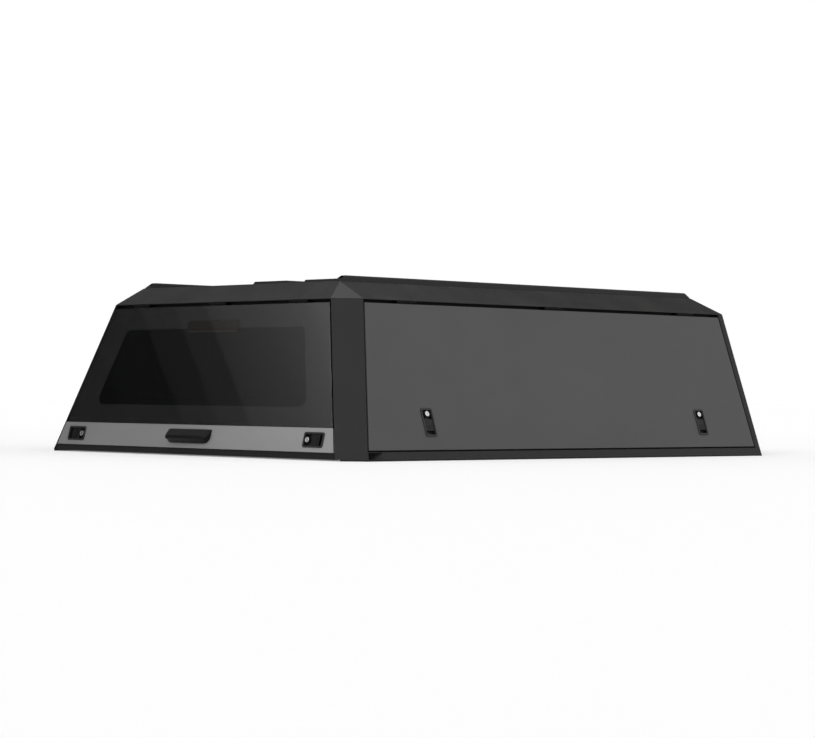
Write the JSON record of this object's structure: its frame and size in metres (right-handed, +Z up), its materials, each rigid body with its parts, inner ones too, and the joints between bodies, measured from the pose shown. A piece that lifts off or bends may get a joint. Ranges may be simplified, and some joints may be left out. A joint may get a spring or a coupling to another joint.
{
  "type": "pickup truck canopy",
  "caption": "Steel canopy for a pickup bed, with leaning walls, slanted rear corner posts, top-hinged side doors, a glass rear door and slotted roof rails",
  "frame": {"origin": "middle of the bounding box, on the bottom of the bed gasket, which lies on the bed rails", "axes": "X to the vehicle's right, Y forward to the cab, Z up"},
  "size_m": [1.7, 2.1008, 0.617],
  "materials": {
    "dark_painted_steel": "matt powder coat",
    "grey_painted_steel": "satin grey powder coat",
    "strip_grey_steel": "satin light grey powder coat",
    "black_aluminium": "black anodised extrusion",
    "strip_black": "black moulded load strip",
    "black_plastic": "fine grained moulding",
    "rubber": "matt",
    "tinted_glass": "grey tint",
    "lock_metal": "satin nickel",
    "lamp_lens": "dark red lens"
  },
  "bodies": {
    "root": {"roof_panel": "dark_painted_steel", "roof_bows": "dark_painted_steel", "roof_rail_left": "black_aluminium", "roof_rail_right": "black_aluminium", "roof_strips": "strip_black", "front_wall": "dark_painted_steel", "front_window": "tinted_glass", "front_window_seal": "rubber", "left_front_post": "dark_painted_steel", "right_front_post": "dark_painted_steel", "left_corner_post": "dark_painted_steel", "right_corner_post": "dark_painted_steel", "left_sill": "dark_painted_steel", "right_sill": "dark_painted_steel", "left_header": "dark_painted_steel", "right_header": "dark_painted_steel", "rear_header": "dark_painted_steel", "bed_gasket": "rubber", "left_door_seal": "rubber", "right_door_seal": "rubber", "rear_door_seal": "rubber", "frame_hinges": "dark_painted_steel"},
    "left_door": {"left_door_skin": "grey_painted_steel", "left_door_inner_panel": "grey_painted_steel", "left_door_hinges": "dark_painted_steel", "left_latch_bezels": "black_plastic", "left_locks": "lock_metal"},
    "right_door": {"right_door_skin": "grey_painted_steel", "right_door_inner_panel": "grey_painted_steel", "right_door_hinges": "dark_painted_steel", "right_latch_bezels": "black_plastic", "right_locks": "lock_metal"},
    "rear_door": {"rear_glass": "tinted_glass", "rear_door_frame": "black_plastic", "rear_lower_panel": "strip_grey_steel", "rear_pull_handle": "black_plastic", "rear_door_hinges": "dark_painted_steel", "rear_latch_bezels": "black_plastic", "rear_locks": "lock_metal", "brake_light": "lamp_lens", "rear_bottom_seal": "rubber"},
    "left_lever_front": {"left_lever_front": "black_plastic"},
    "left_lever_rear": {"left_lever_rear": "black_plastic"},
    "right_lever_front": {"right_lever_front": "black_plastic"},
    "right_lever_rear": {"right_lever_rear": "black_plastic"},
    "rear_lever_left": {"rear_lever_left": "black_plastic"},
    "rear_lever_right": {"rear_lever_right": "black_plastic"}
  },
  "joints": [
    {"name": "right_door_hinge", "type": "hinge", "parent": "root", "child": "right_door", "pos_m": [0.66777, 0.0456, 0.527], "axis": [0, -1, 0], "range_deg": [0, 90]},
    {"name": "left_door_hinge", "type": "hinge", "parent": "root", "child": "left_door", "pos_m": [-0.66777, 0.0456, 0.527], "axis": [0, 1, 0], "range_deg": [0, 90]},
    {"name": "rear_door_hinge", "type": "hinge", "parent": "root", "child": "rear_door", "pos_m": [0, -0.90066, 0.527], "axis": [-1, 0, 0], "range_deg": [0, 90]},
    {"name": "right_lever_front_hinge", "type": "hinge", "parent": "right_door", "child": "right_lever_front", "pos_m": [0.80005, 0.7436, 0.13404], "axis": [0, -1, 0], "range_deg": [0, 45]},
    {"name": "left_lever_front_hinge", "type": "hinge", "parent": "left_door", "child": "left_lever_front", "pos_m": [-0.80005, 0.7436, 0.13404], "axis": [0, 1, 0], "range_deg": [0, 45]},
    {"name": "right_lever_rear_hinge", "type": "hinge", "parent": "right_door", "child": "right_lever_rear", "pos_m": [0.80005, -0.6524, 0.13404], "axis": [0, -1, 0], "range_deg": [0, 45]},
    {"name": "left_lever_rear_hinge", "type": "hinge", "parent": "left_door", "child": "left_lever_rear", "pos_m": [-0.80005, -0.6524, 0.13404], "axis": [0, 1, 0], "range_deg": [0, 45]},
    {"name": "rear_lever_right_hinge", "type": "hinge", "parent": "rear_door", "child": "rear_lever_right", "pos_m": [0.64, -1.0187, 0.06578], "axis": [0, -0.2548, -0.967], "range_deg": [0, 45]},
    {"name": "rear_lever_left_hinge", "type": "hinge", "parent": "rear_door", "child": "rear_lever_left", "pos_m": [-0.64, -1.0187, 0.06578], "axis": [0, 0.2548, 0.967], "range_deg": [0, 45]}
  ]
}
